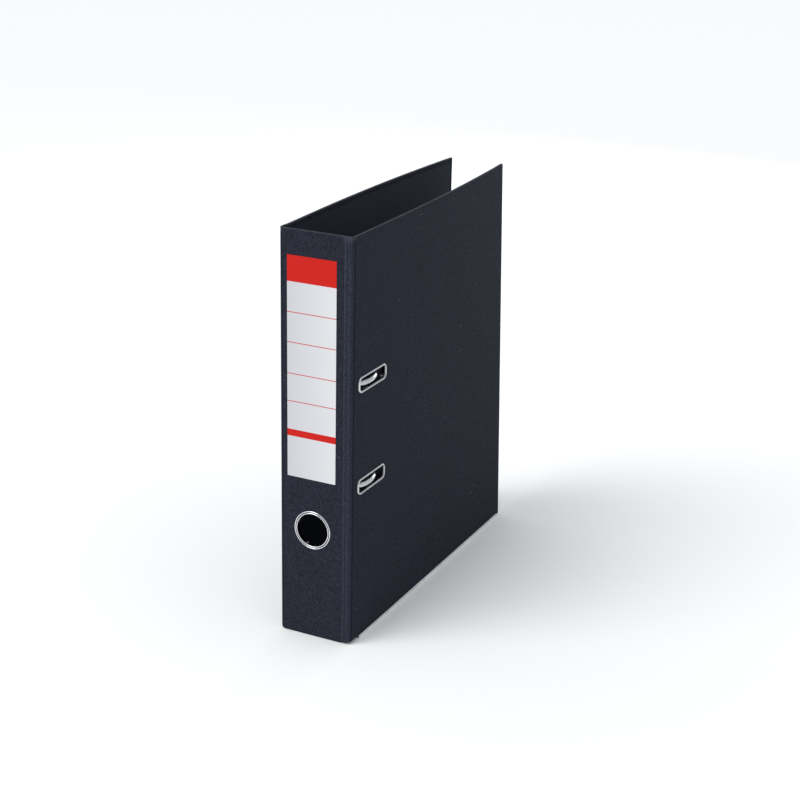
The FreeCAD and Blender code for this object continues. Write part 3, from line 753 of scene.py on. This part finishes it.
# the finger ring and the slot eyelets are swept round their openings
def ringSweepTree():
    tree = bpy.data.node_groups.new("ringSweep", "GeometryNodeTree")
    sockets = tree.interface
    sockets.new_socket(name="Profile", in_out="INPUT", socket_type="NodeSocketGeometry")
    for label in ("Long", "Tall", "Corner"):
        sockets.new_socket(name=label, in_out="INPUT", socket_type="NodeSocketFloat")
    sockets.new_socket(name="Corner Steps", in_out="INPUT", socket_type="NodeSocketInt")
    sockets.new_socket(name="Metal", in_out="INPUT", socket_type="NodeSocketMaterial")
    sockets.new_socket(name="Ring", in_out="OUTPUT", socket_type="NodeSocketGeometry")
    start = tree.nodes.new("NodeGroupInput")
    end = tree.nodes.new("NodeGroupOutput")
    profile = tree.nodes.new("GeometryNodeMeshToCurve")
    outline = tree.nodes.new("GeometryNodeCurvePrimitiveQuadrilateral")
    corners = tree.nodes.new("GeometryNodeFilletCurve")
    corners.mode = "POLY"
    sweep = tree.nodes.new("GeometryNodeCurveToMesh")
    merge = tree.nodes.new("GeometryNodeMergeByDistance")
    merge.inputs["Distance"].default_value = 0.000002
    smooth = tree.nodes.new("GeometryNodeSetShadeSmooth")
    real = tree.nodes.new("GeometryNodeRealizeInstances")
    finish = tree.nodes.new("GeometryNodeSetMaterial")
    link(tree, start.outputs["Profile"], profile.inputs["Mesh"])
    link(tree, start.outputs["Long"], outline.inputs["Width"])
    link(tree, start.outputs["Tall"], outline.inputs["Height"])
    link(tree, outline.outputs["Curve"], corners.inputs["Curve"])
    link(tree, start.outputs["Corner"], corners.inputs["Radius"])
    link(tree, start.outputs["Corner Steps"], corners.inputs["Count"])
    link(tree, corners.outputs["Curve"], sweep.inputs["Curve"])
    link(tree, profile.outputs["Curve"], sweep.inputs["Profile Curve"])
    link(tree, sweep.outputs["Mesh"], merge.inputs["Geometry"])
    link(tree, merge.outputs["Geometry"], smooth.inputs["Geometry"])
    link(tree, smooth.outputs["Geometry"], real.inputs["Geometry"])
    link(tree, real.outputs["Geometry"], finish.inputs["Geometry"])
    link(tree, start.outputs["Metal"], finish.inputs["Material"])
    link(tree, finish.outputs["Geometry"], end.inputs["Ring"])
    return tree


ringSweep = ringSweepTree()
sweepInputs = {item.name: item.identifier for item in ringSweep.interface.items_tree
               if item.item_type == "SOCKET" and item.in_out == "INPUT"}


def arcPoints(middleOut, middleUp, radius, first, last, count):
    return [(middleOut + radius * math.cos(math.radians(first + (last - first) * i / count)),
             middleUp + radius * math.sin(math.radians(first + (last - first) * i / count)))
            for i in range(count + 1)]


def sweptRing(name, profile, shadedPoints, metal, long, tall, corner, cornerSteps, placing):
    # profile points are (out from the opening's edge, up from the face), in millimetres
    data = bpy.data.meshes.new(name)
    count = len(profile)
    data.from_pydata([(out * mm, -up * mm, 0.0) for out, up in profile],
                     [(i, (i + 1) % count) for i in range(count)], [])
    # painted shade: the listed profile points get a darkened metal colour
    groove = data.attributes.new("groove", "FLOAT", "POINT")
    for index, vertex in enumerate(groove.data):
        vertex.value = 1.0 if index in shadedPoints else 0.0
    piece = addObject(name, data)
    sweep = piece.modifiers.new("sweep", "NODES")
    sweep.node_group = ringSweep
    for label, value in (("Long", long * mm), ("Tall", tall * mm), ("Corner", corner * mm),
                         ("Corner Steps", cornerSteps), ("Metal", metal)):
        sweep[sweepInputs[label]] = value
    settled(piece)
    piece.data.transform(placing)
    bm = bmesh.new()
    bm.from_mesh(piece.data)
    bmesh.ops.recalc_face_normals(bm, faces=bm.faces[:])
    bm.to_mesh(piece.data)
    bm.free()
    shaded(piece, 50.0)
    return piece


fingerRingSizes = {
    "opening": 13.0,
    "bead": (0.40, 0.55),     # half its width, and how proud it stands
    "channel": 0.08,
    "flange": 2.3,
    "wall": 0.5,
    "through": 3.4,
}


def fingerRing():
    sizes = fingerRingSizes
    bead, proud = sizes["bead"]
    flange = sizes["flange"]
    squash = proud / bead
    profile = [(0.0, -sizes["through"]), (0.0, -0.25)]
    profile += [(out, up * squash) for out, up in arcPoints(bead, 0.0, bead, 180, 12, 9)]
    profile += [(2 * bead + 0.10, sizes["channel"]), (flange - 2 * bead - 0.10, sizes["channel"])]
    profile += [(out, up * squash) for out, up in arcPoints(flange - bead, 0.0, bead, 168, 0, 9)]
    # painted shade in the channel between the beads and on the inner wall
    shadedPoints = (0, 1, 11, 12, 13, 14)
    profile += [(sizes["wall"], 0.0), (sizes["wall"], -sizes["through"])]
    centre = place(panelSizes["ringAlong"], 0.0, panelSizes["ringHeight"])
    turn = Matrix(((1, 0, 0), (0, 0, -1), (0, 1, 0))).to_4x4()  # the ring's up becomes -y
    across = 2 * sizes["opening"]
    return sweptRing("finger_ring_beads", profile, shadedPoints, ringNickel, across, across,
                     sizes["opening"] - 0.004, 28, Matrix.Translation(centre) @ turn)


eyeletSizes = {
    "long": 39.8,
    "tall": 9.1,
    "corner": 2.8,
    # out from the opening, up from the cover: collar, inner step, dome, rim, then the clinched lip
    "profile": ((0.0, -3.0), (0.0, 0.02), (0.05, 0.20), (0.16, 0.31), (0.30, 0.34), (0.40, 0.38), (0.48, 0.54),
                (0.60, 0.72), (0.76, 0.84), (0.96, 0.90), (1.18, 0.87), (1.40, 0.76), (1.58, 0.56),
                (1.72, 0.28), (1.8, 0.0), (0.5, 0.0), (0.5, -2.5), (0.85, -2.5), (0.9, -2.62),
                (0.9, -2.88), (0.8, -3.0)),
    # painted shade on the collar and the inner step
    "shadedPoints": (0, 1, 3, 4, 5, 20),
}


def slotEyelet(name, height):
    sizes = eyeletSizes
    x, y = leaned(1, half, panelSizes["slotAlong"])
    lean = Matrix.Rotation(math.radians(fileSizes["frontLean"]), 4, "Z")
    turn = Matrix(((0, 0, 1), (1, 0, 0), (0, 1, 0))).to_4x4()  # long way along y, up becomes +x
    placing = Matrix.Translation(place(x, y, height)) @ lean @ turn
    return sweptRing(name, list(sizes["profile"]), sizes["shadedPoints"], nickel,
                     sizes["long"], sizes["tall"], sizes["corner"], 9, placing)


ring = fingerRing()
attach(ring, "spine")
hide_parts("finger_ring")
for name, node, height in (("lower_eyelet", "lower_slot_eyelet", panelSizes["slotHeights"][0]),
                           ("upper_eyelet", "upper_slot_eyelet", panelSizes["slotHeights"][1])):
    eyelet = slotEyelet(name, height)
    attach(eyelet, "front_cover")
    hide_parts(node)
print("finger ring and eyelets made")

# the leaf spring holds the arches down
springSizes = {
    "along": (17.5, 21.5),
    "thick": 0.5,
    "foot": 170.2,
    "bendUp": 182.2,
    "tip": 212.2,
    "plate": 1.2,
    "top": 11.2,
    "edge": 0.12,
    "steps": 26,
}


def leafSpring():
    sizes = springSizes
    line = []
    for i in range(5):
        line.append((sizes["plate"], sizes["foot"] + (sizes["bendUp"] - sizes["foot"]) * i / 5))
    run = sizes["tip"] - 8.0 - sizes["bendUp"]
    for i in range(sizes["steps"] + 1):
        share = i / sizes["steps"]
        rise = sizes["plate"] + (sizes["top"] - sizes["plate"]) * share
        line.append((rise, sizes["bendUp"] + run * share))
    for i in range(1, 5):
        line.append((sizes["top"], sizes["tip"] - 8.0 + 2.0 * i))
    bm = bmesh.new()
    sections = []
    for rise, z in line:
        near, far = sizes["along"]
        corners = ((near, rise), (far, rise), (far, rise + sizes["thick"]), (near, rise + sizes["thick"]))
        sections.append([bm.verts.new(mechanismPlace(along, up, z)) for along, up in corners])
    for lower, upper in zip(sections, sections[1:]):
        for i in range(4):
            j = (i + 1) % 4
            bm.faces.new((lower[i], lower[j], upper[j], upper[i]))
    bm.faces.new(sections[0])
    bm.faces.new(sections[-1])
    bmesh.ops.recalc_face_normals(bm, faces=bm.faces[:])
    long = [e for e in bm.edges if e.calc_face_angle(0.0) > 1.0]
    bmesh.ops.bevel(bm, geom=long, offset=sizes["edge"] * mm, offset_type="OFFSET", segments=2,
                    profile=0.5, affect="EDGES")
    piece = addObject("leaf_spring", meshFrom(bm, "leaf_spring"))
    piece.data.materials.append(springSteel)
    shaded(piece)
    return piece


spring = leafSpring()
mechanismPlace(19.5, 1.2, 184.0)
mechanismPlace(19.5, 11.2, 206.0)
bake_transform(spring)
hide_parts("arch_spring")
print("leaf spring made")

# floor, light and camera
stageSizes = {
    "floor": 40.0,
    "floorColour": (0.97, 0.965, 0.96),
    "skyColour": (0.94, 0.965, 1.0),
    "skyStrength": 0.72,
    "sunWay": (0.35, 0.55, -0.76),
    "sunStrength": 1.25,
    "sunSpread": 40.0,
}


def makeFloor():
    sizes = stageSizes
    bm = bmesh.new()
    bmesh.ops.create_grid(bm, x_segments=1, y_segments=1, size=sizes["floor"] / 2)
    floor = addObject("floor", meshFrom(bm, "floor"))
    floor.location.z = -0.0002
    material, tree, shader = newMaterial("paleFloor")
    shader.inputs["Base Color"].default_value = sizes["floorColour"] + (1.0,)
    shader.inputs["Roughness"].default_value = 0.9
    shader.inputs["Specular IOR Level"].default_value = 0.1
    floor.data.materials.append(material)


def makeLight(name, spot, target, wide, tall, watts, colour):
    data = bpy.data.lights.new(name, "AREA")
    data.shape = "RECTANGLE"
    data.size = wide
    data.size_y = tall
    data.energy = watts
    data.color = colour
    lamp = addObject(name, data)
    lamp.location = spot
    lamp.rotation_euler = (Vector(target) - Vector(spot)).to_track_quat("-Z", "Y").to_euler()


def makeSun():
    sizes = stageSizes
    data = bpy.data.lights.new("highSun", "SUN")
    data.energy = sizes["sunStrength"]
    data.angle = math.radians(sizes["sunSpread"])
    lamp = addObject("highSun", data)
    lamp.rotation_euler = Vector(sizes["sunWay"]).to_track_quat("-Z", "Y").to_euler()


def makeWorld():
    world = bpy.data.worlds.new("studio")
    world.use_nodes = True
    background = world.node_tree.nodes["Background"]
    background.inputs["Color"].default_value = stageSizes["skyColour"] + (1.0,)
    background.inputs["Strength"].default_value = stageSizes["skyStrength"]
    bpy.context.scene.world = world


cameraSizes = {
    "spot": (0.57026, -1.14852, 0.61100),
    "turn": 26.462,
    "down": 19.854,
    "roll": 1.173,
    "lens": 75.99,
}


def makeCamera():
    sizes = cameraSizes
    turn, down, roll = (math.radians(sizes[k]) for k in ("turn", "down", "roll"))
    forward = Vector((-math.sin(turn) * math.cos(down), math.cos(turn) * math.cos(down), -math.sin(down)))
    right = Vector((math.cos(turn), math.sin(turn), 0.0))
    up = right.cross(forward)
    right, up = right * math.cos(roll) + up * math.sin(roll), up * math.cos(roll) - right * math.sin(roll)
    data = bpy.data.cameras.new("camera")
    data.sensor_width = 36.0
    data.lens = sizes["lens"]
    data.clip_start = 0.05
    data.clip_end = 60.0
    camera = addObject("camera", data)
    turnMatrix = Matrix((right, up, -forward)).transposed().to_4x4()
    camera.matrix_world = Matrix.Translation(Vector(sizes["spot"])) @ turnMatrix
    bpy.context.scene.camera = camera


makeFloor()
makeWorld()
makeSun()
makeLight("leftSoftbox", (-1.3, -1.5, 1.0), (0.0, 0.0, 0.16), 0.9, 1.5, 8.0, (1.0, 1.0, 1.0))
makeLight("rightSoftbox", (1.9, 0.4, 1.1), (0.0, 0.0, 0.16), 0.8, 1.6, 0.6, (0.97, 0.98, 1.0))
makeLight("rearSoftbox", (0.05, 1.7, 0.55), (0.0, 0.0, 0.16), 0.9, 0.7, 4.0, (1.0, 1.0, 1.0))
makeCamera()
bpy.context.scene.view_settings.view_transform = "Standard"
print("stage made")
